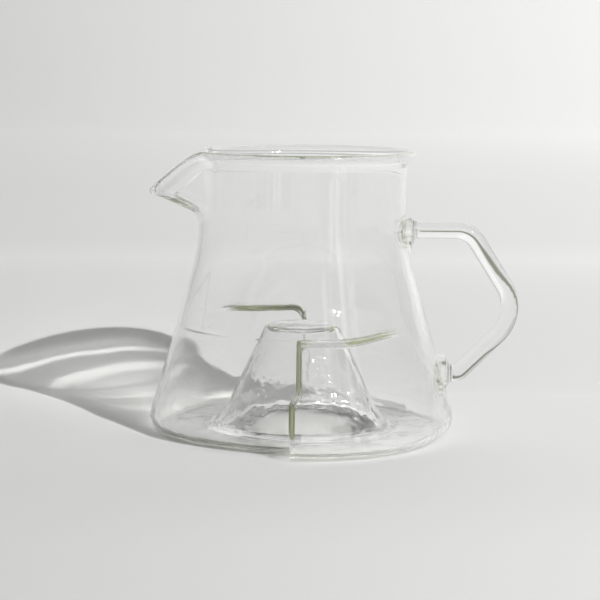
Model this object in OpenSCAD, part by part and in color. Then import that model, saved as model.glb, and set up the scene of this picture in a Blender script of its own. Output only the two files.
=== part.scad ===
// A mould-blown clear glass coffee server, free-standing, in millimetres.
// +Z is up, the table is at z = 0 and the vessel's axis is x = y = 0.
// The spout points along -X and the handle along +X; the front step faces -Y.

/* [Vessel] */
// Height from the table to the top of the lip
vessel_h = 112; // [104:1:124]
// Thickness of the blown glass
wall = 2; // [1.6:0.1:2.4]
// Outer radius of the neck
neck_r = 41; // [39:0.1:43]
// Outer radius of the plain wall just above the bottom corner
base_r = 60.3; // [58:0.1:63]
// Height of the lip above the place where the sloping wall's line would meet the neck
neck_h = 37.5; // [34:0.5:41]
// Radius of the long curve between the sloping wall and the neck
waist_round = 100; // [80:5:110]
// Radius of the rounded bottom corner on the plain wall
corner_round = 6.5; // [5:0.5:8]

/* [Lip and spout] */
// Bend radius of the flared lip, at the middle of the glass
flare_round = 3.3; // [3:0.1:4]
// Angle through which the lip is flared
flare_turn = 80; // [70:5:85]
// Radius of the thick fire-polished bead on the edge
bead_r = 1.75; // [1.5:0.05:1.9]
// Height of the lip above the place where the spout leaves the wall
spout_h = 29; // [27:0.5:31]
// Reach of the spout's tip from the axis, at the middle of the glass
spout_reach = 59; // [56:0.2:62]
// Depth of the spout's tip below the lip, at the middle of the glass
spout_dip = 16.6; // [14:0.2:19]
// Bend radius where the spout turns out of the wall
spout_round = 6; // [4:0.5:8]
// Half of the angle of the wall that the spout takes
spout_half_turn = 30; // [26:1:34]

/* [Steps] */
// Height of the ledge on top of each step
ledge_z = 43.2; // [38:0.2:45]
// Width of the ledge
ledge_w = 3; // [2.2:0.1:4]
// How far the raised side stands out at the bottom corner
raised_w = 3.4; // [2.6:0.1:5]
// How far the sunk side stands in at the bottom corner
sunk_w = 7; // [5:0.2:8]
// Sideways place of the step's upper half
step_top_x = -1.8; // [-3:0.1:3]
// Sideways place of the step's lower half
step_foot_x = -4.4; // [-6:0.1:3]
// Height of the jog between the two halves
jog_z = 22; // [18:0.5:26]
// Width of the rounded edge of a step
step_edge = 0.9; // [0.7:0.1:1.3]
// Radius of the turn from a step's upright fold into its ledge
step_corner = 2.5; // [1.5:0.1:3]
// Thickness of the glass in the upright folds
fold_wall = 1.3; // [1.1:0.1:1.6]

/* [Centre cone] */
// Height of the cone
cone_h = 42.5; // [36:0.5:50]
// Radius where the cone's side would meet its top, as a share of the base's radius
cone_top_share = 0.24; // [0.2:0.01:0.28]
// Radius where the cone's side would meet the table, as a share of the base's radius
cone_foot_share = 0.57; // [0.53:0.01:0.6]
// Radius of the rounded shoulder
shoulder_round = 3.2; // [2.8:0.1:5]
// Radius of the hollow curve into the floor
foot_round = 4; // [3:0.5:6]

/* [Handle] */
// Diameter of the glass rod
rod_d = 7; // [6:0.1:8]
// Depth of the rod's upper run below the lip
upper_drop = 31.3; // [30:0.1:33]
// Height of the rod's lower end
lower_z = 23.3; // [22:0.1:25]
// Length of the upper run, from the wall to the first corner
upper_run = 24.9; // [23:0.1:28]
// How far the elbow's corner lies beyond the first corner
elbow_run = 20.7; // [18:0.1:23]
// How far the elbow's corner lies below the upper run
elbow_drop = 32.8; // [31:0.2:35]
// Length from the lower pad to the last corner
lower_run = 2.5; // [2.5:0.1:4]
// Bend radius of the first corner
upper_bend = 10; // [8:0.5:12]
// Bend radius of the elbow
elbow_bend = 16; // [13:0.5:17]
// Bend radius of the last corner
lower_bend = 4.6; // [4:0.2:5]
// Radius of the pads where the rod is fused to the wall
pad_r = 7.4; // [6.6:0.1:8]
// Length of the pads, from the wall to the bare rod
pad_l = 4; // [3.6:0.1:4.8]
// Thickness of the pads' edge
pad_edge = 1.2; // [0.8:0.1:1.6]
// How far the upper pad's foot hangs below the rod's axis
pad_drop = 2.8; // [1:0.2:3.4]

/* [Hidden] */
$fn = 120;

// The step of a numerical slope, as a share of a path
slope_share = 0.001;

// Heights set from the lip downwards
knee_z = vessel_h - neck_h;
spout_z = vessel_h - spout_h;
spout_tip_z = vessel_h - spout_dip;
upper_z = vessel_h - upper_drop;
elbow_z = upper_z - elbow_drop;

// The cone's radii follow the base
cone_top_r = base_r * cone_top_share;
cone_foot_r = base_r * cone_foot_share;

// The plain wall begins this far above the ledge
plain_margin = 3;
steps_top_z = ledge_z + plain_margin;

// Height of the jog
jog_h = 4;

// The angle beside a step over which its jog dies away
jog_reach = 35;

// Angles from a step over which its raised side sinks back into the plain wall
raised_top_from = 16;
raised_top_to = 56;
raised_foot_from = 25;
raised_foot_to = 70;

// Angles from a step over which the wall falls towards the next step's sunk side
sunk_from = 95;
sunk_to = 150;

// The plain wall: a straight slope, a long curve and the upright neck
corner_z = corner_round * (1 + sin(atan((base_r - neck_r) / (knee_z - corner_round))));
slope = (base_r - neck_r) / (knee_z - corner_z);
slope_angle = atan(slope);
waist_half = waist_round * tan(slope_angle / 2);
waist_low_z = knee_z - waist_half * cos(slope_angle);
waist_high_z = knee_z + waist_half;

// The lip: its middle line leaves the upright neck at flare_z
neck_mid = neck_r - wall / 2;
flare_z = vessel_h - bead_r - flare_round * sin(flare_turn);
bead_from_share = 0.8;
level_share = 0.17;

// Counts of points
path_steps = 14;
bead_steps = 8;
corner_steps = 6;
waist_steps = 12;
turn_step = 5;
ring_sides = 24;
bend_step = 7;
pad_rings = 8;

function soft(t) = let(u = min(1, max(0, t))) u * u * (3 - 2 * u);
function mix(a, b, t) = a + (b - a) * t;
function polar(r, angle) = [r * cos(angle), r * sin(angle)];

// Outer radius of the plain wall at height z
function plain_r(z) =
    z < waist_low_z ? neck_r + slope * (knee_z - z)
    : z < waist_high_z ? neck_r + waist_round - sqrt(pow(waist_round, 2) - pow(waist_high_z - z, 2))
    : neck_r;

// Outer heights of a plain band of the wall, with the long curve in small steps
function band_heights(low, high) =
    concat([low], low < waist_low_z ? [waist_low_z] : [],
           [for (i = [1:waist_steps - 1])
               let(z = mix(waist_low_z, waist_high_z, i / waist_steps))
               if (z > low && z < high) z],
           [high]);

// Length of glass across the wall on a level line
function level_wall(z) =
    let(rise = z < waist_low_z ? slope_angle
             : z < waist_high_z ? asin((waist_high_z - z) / waist_round) : 0)
    wall / cos(rise);

module plain_band(low, high) {
    heights = band_heights(low, high);
    count = len(heights);
    rotate_extrude()
        polygon(concat(
            [for (z = heights) [plain_r(z), z]],
            [for (i = [1:count]) let(z = heights[count - i]) [plain_r(z) - level_wall(z), z]]));
}

// The whole vessel's outer form as one solid, for seating the handle
module outer_form() {
    heights = band_heights(corner_z, vessel_h);
    rotate_extrude()
        polygon(concat([[0, corner_z]], [for (z = heights) [plain_r(z), z]], [[0, vessel_h]]));
}

// The middle of the glass from the neck to the edge, as [radius, height] at a share of its length
lip_rise = flare_z - spout_z;
lip_arc = flare_round * flare_turn * PI / 180;
function lip_mid(share) =
    let(run = share * (lip_rise + lip_arc),
        turn = (run - lip_rise) / flare_round * 180 / PI)
    run < lip_rise ? [plain_r(spout_z + run) - wall / 2, spout_z + run]
    : [neck_mid + flare_round * (1 - cos(turn)), flare_z + flare_round * sin(turn)];

// The middle of the glass down the centre of the spout
spout_start = plain_r(spout_z) - wall / 2;
spout_out = spout_reach - spout_start - spout_round;
spout_up = spout_tip_z - spout_z;
spout_chord = sqrt(pow(spout_out, 2) + pow(spout_up, 2));
spout_turn = 180 - atan2(spout_up, spout_out) - acos(spout_round / spout_chord);
spout_arc = spout_round * spout_turn * PI / 180;
spout_run = sqrt(pow(spout_chord, 2) - pow(spout_round, 2));
function spout_mid(share) =
    let(run = share * (spout_arc + spout_run),
        turn = min(run, spout_arc) / spout_round * 180 / PI,
        rest = max(0, run - spout_arc))
    [spout_start + spout_round * (1 - cos(turn)) + rest * sin(turn),
     spout_z + spout_round * sin(turn) + rest * cos(turn)];

// The spout's pull at an angle from its centre: 1 at the centre, 0 at its sides
function spout_pull(angle) =
    abs(angle) >= spout_half_turn ? 0 : pow(cos(90 * angle / spout_half_turn), 2);

// The spout's fall below the lip, for its pull outwards: level at first, then an even slope
function spout_fall(pull) = pow(pull, 2) * (1 + level_share) / (pull + level_share);

function rim_mid(share, pull) =
    let(plain = lip_mid(share), drawn = spout_mid(share))
    [mix(plain[0], drawn[0], pull), mix(plain[1], drawn[1], spout_fall(pull))];

// Unit vector along the middle line, from the neck to the edge
function rim_along(share, pull) =
    let(from = rim_mid(max(0, share - slope_share), pull),
        to = rim_mid(min(1, share + slope_share), pull),
        step = to - from)
    step / norm(step);

function half_wall(share) = mix(wall / 2, bead_r, soft((share - bead_from_share) / (1 - bead_from_share)));

// A point on the outside (side 1) or the inside (side -1) of the rim
function rim_skin(share, pull, side) =
    let(mid = rim_mid(share, pull), along = rim_along(share, pull))
    share == 0 ? mid + [side * wall / 2, 0]
    : mid + side * half_wall(share) * [along[1], -along[0]];

function rim_bead(pull) =
    let(mid = rim_mid(1, pull), along = rim_along(1, pull))
    [for (i = [1:bead_steps - 1])
        let(turn = 180 * i / bead_steps)
        mid + bead_r * (cos(turn) * [along[1], -along[0]] + sin(turn) * along)];

function rim_section(from, to, pull) =
    concat([for (i = [0:path_steps]) rim_skin(mix(from, to, i / path_steps), pull, 1)],
           to == 1 ? rim_bead(pull) : [],
           [for (i = [0:path_steps]) rim_skin(mix(to, from, i / path_steps), pull, -1)]);

// The share of the lip's middle line where the lip ring begins
lip_share = lip_rise / (lip_rise + lip_arc);

module rim_sweep(from, to) {
    rotate([0, 0, spout_half_turn - 180])
        rotate_extrude(angle = 360 - 2 * spout_half_turn)
            polygon(rim_section(from, to, 0));
}

module lip_ring() {
    color("#cfd8cf") rim_sweep(lip_share, 1);
}

module neck_wall() {
    color("#e3e9e3") rim_sweep(0, lip_share);
}

// Triangles between rings of equal size; turns is the number of steps from ring to ring
function ring_faces(rows, sides, turns) =
    [for (i = [0:turns - 1], j = [0:sides - 1])
        let(k = (j + 1) % sides, a = i * sides, b = ((i + 1) % rows) * sides)
        each [[a + j, b + k, a + k], [a + j, b + j, b + k]]];

// The flat ends of a form made of rings
function end_faces(rows, sides) =
    [[for (j = [0:sides - 1]) j], [for (j = [1:sides]) rows * sides - j]];

// The spout: the rim's section carried round its sector and pulled out and down
spout_columns = 24;
module pouring_spout() {
    angles = [for (i = [0:spout_columns]) mix(-spout_half_turn, spout_half_turn, i / spout_columns)];
    sections = [for (angle = angles) rim_section(0, 1, spout_pull(angle))];
    size = len(sections[0]);
    points = [for (i = [0:spout_columns]) each [for (p = sections[i])
                 concat(polar(-p[0], angles[i]), p[1])]];
    rows = spout_columns + 1;
    color("#d5ddcc")
        polyhedron(points, concat(ring_faces(rows, size, spout_columns), end_faces(rows, size)));
}

module body_wall() {
    color("#e9eee9") plain_band(steps_top_z, spout_z);
}

// The steps. Angles run from the front step towards the handle and repeat every half turn.
inner_shift = fold_wall / base_r * 180 / PI;
edge_turn = step_edge / base_r * 180 / PI;
corner_turn = step_corner / base_r * 180 / PI;
edge_shares = [-0.5, -0.25, 0, 0.25, 0.5];
turn_shares = [0.4, 0.7, 1];
half_turn_angles = [for (a = [2 * turn_step:turn_step:180 - turn_step]) a];

// Angles of one ring of points, with the steps' edges shifted for the inside of the glass
function ring_angles(shift) =
    [for (half = [0, 180]) each concat(
        [for (share = edge_shares) half + share * edge_turn + shift],
        [for (share = turn_shares) half + share * corner_turn + shift],
        [half + turn_step],
        [for (a = half_turn_angles) half + a])];

function local_angle(angle) = let(a = angle % 180) a > 180 - turn_step / 2 ? a - 180 : a;

// Distance into the raised side, past its fold and below its ledge, with a rounded turn between them
function distance_in(past, below) =
    past < step_corner && below < step_corner
    ? step_corner - norm([step_corner - past, step_corner - below])
    : min(past, below);

// How far the wall stands out or in at an angle and a height; drop lowers the ledge
function step_offset(angle, z, shift, drop) =
    let(a = local_angle(angle),
        depth = min(1, max(0, (ledge_z - z) / (ledge_z - corner_z))),
        past = (a - shift) * base_r * PI / 180,
        inwards = distance_in(past, ledge_z - drop - z),
        from = mix(raised_top_from, raised_foot_from, depth),
        to = mix(raised_top_to, raised_foot_to, depth),
        raised_side = soft(inwards / step_edge + 0.5) * (1 - soft((a - from) / (to - from))),
        sunk_side = a < 90 ? 1 - soft(past / step_edge + 0.5)
                  : soft((a - sunk_from) / (sunk_to - sunk_from)))
    mix(ledge_w, raised_w, depth) * raised_side - sunk_w * depth * sunk_side;

// Turn of a ring, as an angle at height z; near a step, the jog turns its lower half further
function step_angle(angle, z) =
    let(low = soft((jog_z + jog_h / 2 - z) / jog_h),
        near = 1 - soft(abs(local_angle(angle)) / jog_reach))
    mix(step_top_x, step_foot_x, low * near) / base_r * 180 / PI - 90;

function outside_r(angle, z) = plain_r(z) + step_offset(angle, z, 0, 0);
function inside_r(angle, z) =
    plain_r(z) - level_wall(z) + step_offset(angle, z, inner_shift, wall);

// The rounded bottom corner keeps to the wall's own slope at each angle
function lean(angle) =
    atan((outside_r(angle, corner_z) - outside_r(angle, corner_z + corner_round)) / corner_round);
function corner_r(angle) = corner_z / (1 + sin(lean(angle)));
function floor_r(angle) = outside_r(angle, corner_z) - corner_r(angle) * cos(lean(angle));

function corner_point(angle, share, depth) =
    let(turn = mix(lean(angle), -90, share), r = corner_r(angle))
    [floor_r(angle) + (r - depth) * cos(turn), r + (r - depth) * sin(turn)];

// Heights of the rings above the corner, closer together at the ledge and the jog
ledge_shares = [0.5, 0.25, 0, -0.25, -0.5];
upper_shares = [0.7, 0.3];
jog_shares = [0.5, 0.25, 0, -0.25, -0.5];
lower_shares = [0.75, 0.5, 0.25];
function ring_heights(drop) =
    concat([steps_top_z],
           [for (share = ledge_shares) ledge_z - drop + share * step_edge],
           [for (share = turn_shares) ledge_z - drop - share * step_corner],
           [for (share = upper_shares) mix(jog_z + jog_h / 2, ledge_z - wall - step_corner, share)],
           [for (share = jog_shares) jog_z + share * jog_h],
           [for (share = lower_shares) mix(corner_z, jog_z - jog_h / 2, share)]);

function ring_at(z, radii, angles) =
    [for (i = [0:len(angles) - 1])
        concat(polar(radii[i], angles[i] + step_angle(angles[i], z)), z)];

function corner_ring(angles, share, depth) =
    [for (angle = angles)
        let(p = corner_point(angle, share, depth))
        concat(polar(p[0], angle + step_angle(angle, 0)), p[1])];

module stepped_base() {
    outer = ring_angles(0);
    inner = ring_angles(inner_shift);
    outer_rings = [for (z = ring_heights(0)) ring_at(z, [for (a = outer) outside_r(a, z)], outer)];
    outer_corner = [for (i = [0:corner_steps]) corner_ring(outer, i / corner_steps, 0)];
    inner_corner = [for (i = [0:corner_steps])
        corner_ring(i == 0 ? outer : inner, 1 - i / corner_steps, wall)];
    inner_heights = ring_heights(wall);
    inner_rings = [for (i = [1:len(inner_heights)])
        let(z = inner_heights[len(inner_heights) - i])
        ring_at(z, [for (a = inner) inside_r(a, z)], inner)];
    rings = concat(outer_rings, outer_corner, inner_corner, inner_rings);
    sides = len(outer);
    color("#dfe7d6")
        polyhedron([for (ring = rings) each ring], ring_faces(len(rings), sides, len(rings)));
}

module base_floor() {
    color("#e6ece2")
        linear_extrude(wall)
            difference() {
                polygon([for (a = ring_angles(0)) polar(floor_r(a), a + step_angle(a, 0))]);
                circle(cone_edge_r);
            }
}

// The cone's section: a flat top, a rounded shoulder, a straight side and a hollow foot
cone_slope = (cone_foot_r - cone_top_r) / cone_h;
cone_lean = atan(cone_slope);
shoulder_r = cone_top_r + cone_slope * shoulder_round - shoulder_round / cos(cone_lean);
cone_edge_r = cone_top_r + cone_slope * (cone_h - wall - foot_round) + foot_round / cos(cone_lean);
cone_steps = 8;

function shoulder_arc(r) =
    [for (i = [0:cone_steps])
        [shoulder_r, cone_h - shoulder_round] + polar(r, mix(90, cone_lean, i / cone_steps))];
function foot_arc(r) =
    [for (i = [0:cone_steps])
        [cone_edge_r, wall + foot_round] - polar(r, mix(cone_lean, 90, i / cone_steps))];
function reversed(list) = [for (i = [1:len(list)]) list[len(list) - i]];

module centre_cone() {
    color("#dde4da")
        rotate_extrude()
            polygon(concat(
                [[0, cone_h]], shoulder_arc(shoulder_round), foot_arc(foot_round),
                reversed(foot_arc(foot_round + wall)), reversed(shoulder_arc(shoulder_round - wall)),
                [[0, cone_h - wall]]));
}

// The handle's corners in the XZ plane, from the upper pad to the lower one
upper_wall_x = plain_r(upper_z);
lower_wall_x = plain_r(lower_z);
handle_corners = [
    [upper_wall_x + pad_l, upper_z],
    [upper_wall_x + upper_run, upper_z],
    [upper_wall_x + upper_run + elbow_run, elbow_z],
    [lower_wall_x + pad_l + lower_run, lower_z],
    [lower_wall_x + pad_l, lower_z]];
handle_bends = [0, upper_bend, elbow_bend, lower_bend, 0];

function heading(i) =
    let(step = handle_corners[i + 1] - handle_corners[i]) atan2(step[1], step[0]);
function bend_turn(i) = let(turn = heading(i - 1) - heading(i)) turn < 0 ? turn + 360 : turn;
function bend_reach(i) = handle_bends[i] == 0 ? 0 : handle_bends[i] * tan(bend_turn(i) / 2);

// Places along the rod's middle line, as [x, z, heading]; a corner gives an arc of them
function bend_places(i) =
    let(r = handle_bends[i], from = heading(i - 1), turn = bend_turn(i),
        start = handle_corners[i] - polar(bend_reach(i), from),
        centre = start - polar(r, from + 90),
        count = ceil(turn / bend_step))
    [for (k = [0:count])
        let(h = from - turn * k / count) concat(centre + polar(r, h + 90), h)];

module handle_rod() {
    last = len(handle_corners) - 1;
    places = concat([concat(handle_corners[0], heading(0))],
                    [for (i = [1:last - 1]) each bend_places(i)],
                    [concat(handle_corners[last], heading(last - 1))]);
    rows = len(places);
    points = [for (p = places, j = [0:ring_sides - 1])
        let(across = polar(rod_d / 2, 360 * j / ring_sides), h = p[2])
        [p[0] - across[0] * sin(h), across[1], p[1] + across[0] * cos(h)]];
    color("#d3dccb")
        polyhedron(points, concat(ring_faces(rows, ring_sides, rows - 1), end_faces(rows, ring_sides)));
}

// A pad: the softened end of the rod, spread on the wall; drop moves its foot down.
// Its rings run from inside the wall to the bare rod, as [x, radius, height].
module pad(wall_x, z, drop) {
    rings = concat(
        [[wall_x - pad_r, pad_r, z - drop]],
        [for (i = [0:pad_rings])
            let(share = i / pad_rings, spread = pow(1 - share, 2))
            [wall_x + mix(pad_edge, pad_l, share), mix(rod_d / 2, pad_r, spread), z - drop * spread]]);
    rows = len(rings);
    points = [for (ring = rings, j = [0:ring_sides - 1])
        let(p = polar(ring[1], 360 * j / ring_sides)) [ring[0], p[0], ring[2] + p[1]]];
    difference() {
        polyhedron(points, concat(ring_faces(rows, ring_sides, rows - 1), end_faces(rows, ring_sides)));
        outer_form();
    }
}

module upper_handle_pad() {
    color("#b9c79c") pad(upper_wall_x, upper_z, pad_drop);
}

module lower_handle_pad() {
    color("#b9c79c") pad(lower_wall_x, lower_z, 0);
}

lip_ring();
pouring_spout();
neck_wall();
body_wall();
stepped_base();
base_floor();
centre_cone();
handle_rod();
upper_handle_pad();
lower_handle_pad();
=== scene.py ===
"""A clear glass coffee server: its vessel, its rod handle and the table it stands on.

Sizes are in millimetres while a shape is made, and each mesh is scaled to metres when it is finished.
The vessel's axis is x = y = 0, the table is z = 0, the spout points along -X and the handle along +X.
"""

import math

import bmesh
import bpy
from mathutils import Matrix, Vector


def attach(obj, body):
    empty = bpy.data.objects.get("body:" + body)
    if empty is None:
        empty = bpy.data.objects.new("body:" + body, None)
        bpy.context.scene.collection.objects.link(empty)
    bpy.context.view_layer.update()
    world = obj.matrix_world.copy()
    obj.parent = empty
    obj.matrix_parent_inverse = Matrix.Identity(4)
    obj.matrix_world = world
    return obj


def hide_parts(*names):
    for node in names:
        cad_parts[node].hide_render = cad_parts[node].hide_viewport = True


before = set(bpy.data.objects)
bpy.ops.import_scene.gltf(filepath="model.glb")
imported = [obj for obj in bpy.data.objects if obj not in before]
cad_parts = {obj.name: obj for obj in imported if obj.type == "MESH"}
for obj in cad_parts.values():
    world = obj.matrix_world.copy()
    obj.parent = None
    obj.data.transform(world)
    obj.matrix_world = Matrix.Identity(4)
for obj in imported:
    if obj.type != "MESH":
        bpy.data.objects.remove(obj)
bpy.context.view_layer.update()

bl_info = {
    "name": "Glass Coffee Server",
    "version": (1, 0, 0),
    "blender": (4, 5, 0),
    "location": "3D View > Sidebar > Server",
    "description": "Makes a clear glass coffee server with a rod handle, and a pale table to show it on",
    "category": "Add Mesh",
}

MM = 0.001
VESSEL_NODES = ("lip_ring", "pouring_spout", "neck_wall", "body_wall", "stepped_base", "base_floor",
                "centre_cone")
HANDLE_NODES = ("handle_rod", "upper_handle_pad", "lower_handle_pad")


# Settings that a user may change


class VesselSettings(bpy.types.PropertyGroup):
    """Sizes of the blown vessel."""

    height: bpy.props.FloatProperty(
        name="Height", description="From the table to the top of the lip, in mm", default=112.0)
    wall: bpy.props.FloatProperty(name="Wall", description="Thickness of the glass, in mm", default=2.0)
    neck_r: bpy.props.FloatProperty(name="Neck", description="Outer radius of the neck, in mm", default=41.0)
    base_r: bpy.props.FloatProperty(
        name="Base", description="Outer radius above the bottom corner, in mm", default=60.3)
    columns: bpy.props.IntProperty(name="Columns", description="Steps of the spin round the axis", default=288)


class HandleSettings(bpy.types.PropertyGroup):
    """Sizes of the rod handle."""

    rod_d: bpy.props.FloatProperty(name="Rod", description="Diameter of the glass rod, in mm", default=7.0)
    pad_r: bpy.props.FloatProperty(name="Pad", description="Radius of the pads on the wall, in mm", default=7.4)
    sides: bpy.props.IntProperty(name="Sides", description="Points round the rod", default=96)


class GlassSettings(bpy.types.PropertyGroup):
    """Finish of the glass."""

    ior: bpy.props.FloatProperty(name="IOR", description="Refraction of the glass", default=1.47)
    tint: bpy.props.FloatVectorProperty(
        name="Edge Tint", description="Colour that light keeps on a long way through the glass",
        subtype="COLOR", default=(0.42, 0.74, 0.16))
    density: bpy.props.FloatProperty(name="Density", description="Strength of the tint, per metre", default=1.2)


class StageSettings(bpy.types.PropertyGroup):
    """The table and the light."""

    floor_colour: bpy.props.FloatVectorProperty(
        name="Board", description="Colour of the board under and behind the server", subtype="COLOR",
        default=(0.815, 0.815, 0.805))
    swell_y: bpy.props.FloatProperty(
        name="Swell", description="Where the board starts to rise, behind the axis, in mm", default=80.0)
    swell_round: bpy.props.FloatProperty(
        name="Swell Radius", description="Radius of the board's rise, in mm", default=131.5)
    sun: bpy.props.FloatProperty(name="Sun", description="Strength of the key light", default=3.1)
    sky: bpy.props.FloatProperty(name="Sky", description="Strength of the light from all round", default=0.24)
    glass_sky: bpy.props.FloatProperty(
        name="Glass Sky", description="Strength of the surroundings that the glass shows", default=0.53)
    window: bpy.props.FloatProperty(
        name="Window", description="Strength of the tall window that the glass mirrors", default=1.5)


# Shapes


def soft(t):
    """Smooth step from 0 to 1."""
    t = min(1.0, max(0.0, t))
    return t * t * (3 - 2 * t)


def mix(a, b, t):
    return a + (b - a) * t


def bell(x, middle, width):
    """1 at the middle, falling off evenly to both sides."""
    return math.exp(-((x - middle) / width) ** 2)


def along(stops, at):
    """Value at a place among stops, each a place and a value."""
    if at <= stops[0][0]:
        return stops[0][1]
    for (x0, y0), (x1, y1) in zip(stops, stops[1:]):
        if at <= x1:
            return mix(y0, y1, (at - x0) / (x1 - x0))
    return stops[-1][1]


class Form:
    """The vessel's form, as the place of a point of its profile at an angle."""

    knee_drop, waist_round, corner_round = 37.5, 100.0, 6.5
    flare_round, flare_turn, bead_r = 3.3, math.radians(80), 1.75
    spout_drop, spout_reach, spout_dip, level_share = 29.0, 59.0, 16.6, 0.17
    spout_round, spout_half = 6.0, 30.0
    ledge_z, ledge_w, raised_w, sunk_w = 43.2, 3.0, 3.4, 7.0
    step_top_x, step_foot_x, jog_z, jog_h, jog_reach = -1.8, -4.4, 22.0, 4.0, 35.0
    step_edge, step_corner, fold_wall, plain_margin = 0.9, 2.5, 1.3, 3.0
    back_corner, arm_rise, arm_start, arm_run = 6.0, 1.6, 20, 26
    # Angles: how far ahead of a step its half begins, where the raised side starts and stops fading, at the
    # ledge and at the foot, and where the sunk side starts and how long it takes
    step_lead, fade_start, fade_end, sunk_start, sunk_run = 2.5, (16, 25), (56, 70), 95, 55
    cone_h, cone_top_share, cone_foot_share = 42.5, 0.24, 0.57
    shoulder_round, foot_round = 3.2, 4.0

    # Strength of the body colour: up the front fold by height, along both ledges and round the foot by angle
    fold_levels = ((8, 0.5), (12, 0.8), (18.5, 0.8), (21, 0.2), (24, 0.2), (26, 0.8), (36, 0.95), (ledge_z, 0.7))
    front_levels = ((0, 0.7), (3, 0.4), (6, 0.08), (18, 0.08), (23, 0.8), (38, 0.6), (50, 0))
    # On the back ledge the strength goes above 1, which paints shade: the colour there is darkened
    back_colour_and_shade = ((0, 1.0), (4, 1.7), (16, 1.7), (26, 1.2), (34, 0.6), (42, 0))
    foot_levels = ((0, 0.4), (60, 0.15), (100, 0.05), (250, 0.05), (290, 0.4), (360, 0.4))
    # Patches on the cone's shoulder: angle, half width and strength; where the strength is above 1 the patch is
    # darkened as painted shade
    shoulder_patches = ((300, 16, 1.0), (62, 12, 1.4))
    # Half width of the fold's colour below and above its jog, in mm, and how softly the colour ends
    fold_half, fold_soft = (1.2, 0.8), 0.6
    # Half width of the colour along a ledge, in front and behind, and how far it lies below the ledge
    arm_half, arm_below = (0.5, 0.7), 0.5
    # The bead's line: its strength, its place on the bead and its half width
    bead_line = (0.4, -0.5, 0.14)

    def __init__(self, s):
        self.h, self.wall, self.neck_r, self.base_r = s.height, s.wall, s.neck_r, s.base_r
        self.knee_z = self.h - self.knee_drop
        rise = self.knee_z - self.corner_round
        self.corner_z = self.corner_round * (1 + math.sin(math.atan((self.base_r - self.neck_r) / rise)))
        self.slope = (self.base_r - self.neck_r) / (self.knee_z - self.corner_z)
        lean = math.atan(self.slope)
        half = self.waist_round * math.tan(lean / 2)
        self.low_z, self.high_z = self.knee_z - half * math.cos(lean), self.knee_z + half
        self.spout_z = self.h - self.spout_drop
        self.tip_z = self.h - self.spout_dip
        self.flare_z = self.h - self.bead_r - self.flare_round * math.sin(self.flare_turn)
        self.neck_mid = self.neck_r - self.wall / 2
        self.rise = self.flare_z - self.spout_z
        self.arc = self.flare_round * self.flare_turn
        self.start_r = self.plain(self.spout_z) - self.wall / 2
        out, up = self.spout_reach - self.start_r - self.spout_round, self.tip_z - self.spout_z
        chord = math.hypot(out, up)
        self.drawn_turn = math.pi - math.atan2(up, out) - math.acos(self.spout_round / chord)
        self.drawn_run = math.sqrt(chord ** 2 - self.spout_round ** 2)
        self.steps_top = self.ledge_z + self.plain_margin
        self.shift = math.degrees(self.fold_wall / self.base_r)
        top_r, foot_r = self.base_r * self.cone_top_share, self.base_r * self.cone_foot_share
        self.cone_slope = (foot_r - top_r) / self.cone_h
        self.cone_lean = math.atan(self.cone_slope)
        c = math.cos(self.cone_lean)
        self.shoulder_r = top_r + self.cone_slope * self.shoulder_round - self.shoulder_round / c
        self.cone_edge = top_r + self.cone_slope * (self.cone_h - self.wall - self.foot_round) + self.foot_round / c

    def plain(self, z):
        """Outer radius of the plain wall."""
        if z < self.low_z:
            return self.neck_r + self.slope * (self.knee_z - z)
        if z < self.high_z:
            return self.neck_r + self.waist_round - math.sqrt(self.waist_round ** 2 - (self.high_z - z) ** 2)
        return self.neck_r

    def level_wall(self, z):
        """Glass across the wall on a level line."""
        lean = 0.0
        if z < self.low_z:
            lean = math.atan(self.slope)
        elif z < self.high_z:
            lean = math.asin((self.high_z - z) / self.waist_round)
        return self.wall / math.cos(lean)

    # The steps; angles run from the front step towards the handle, in degrees

    def local(self, a):
        """Angle from the nearer step, which each half of the wall starts with."""
        a %= 180.0
        return a - 180.0 if a > 180.0 - self.step_lead else a

    def arm_lift(self, a):
        """How far a ledge has risen at an angle from its step."""
        return self.arm_rise * soft((a - self.arm_start) / self.arm_run)

    def offset(self, a, z, inner):
        """How far the wall stands out or in at an angle and a height."""
        turn = self.step_corner if a % 360 < 90 or a % 360 > 270 else self.back_corner
        a = self.local(a)
        shift, drop = (self.shift, self.wall) if inner else (0.0, 0.0)
        drop -= self.arm_lift(a)
        depth = min(1.0, max(0.0, (self.ledge_z - z) / (self.ledge_z - self.corner_z)))
        past, below = math.radians(a - shift) * self.base_r, self.ledge_z - drop - z
        inwards = turn - math.hypot(turn - past, turn - below) if max(past, below) < turn else min(past, below)
        start, end = mix(*self.fade_start, depth), mix(*self.fade_end, depth)
        raised = soft(inwards / self.step_edge + 0.5) * (1 - soft((a - start) / (end - start)))
        sunk = 1 - soft(past / self.step_edge + 0.5) if a < 90 else soft((a - self.sunk_start) / self.sunk_run)
        return mix(self.ledge_w, self.raised_w, depth) * raised - self.sunk_w * depth * sunk

    def turn(self, a, z):
        """Turn of the wall's points about the axis, with the jog near each step."""
        low = soft((self.jog_z + self.jog_h / 2 - z) / self.jog_h)
        near = 1 - soft(abs((a + 90) % 180 - 90) / self.jog_reach)
        fade = 1 - soft((z - self.steps_top) / (self.spout_z - self.steps_top))
        return fade * math.degrees(mix(self.step_top_x, self.step_foot_x, low * near) / self.base_r)

    def skin(self, a, z, inner):
        r = self.plain(z) + self.offset(a, z, inner)
        return r - self.level_wall(z) if inner else r

    def corner(self, a, share, depth):
        """A point of the rounded bottom corner: share 0 is its top and 1 its foot."""
        rise = self.corner_round
        lean = math.atan((self.skin(a, self.corner_z, False) - self.skin(a, self.corner_z + rise, False)) / rise)
        r = self.corner_z / (1 + math.sin(lean))
        foot = self.skin(a, self.corner_z, False) - r * math.cos(lean)
        turn = mix(lean, -math.pi / 2, share)
        return foot + (r - depth) * math.cos(turn), r + (r - depth) * math.sin(turn), foot

    # The lip and the spout

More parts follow.
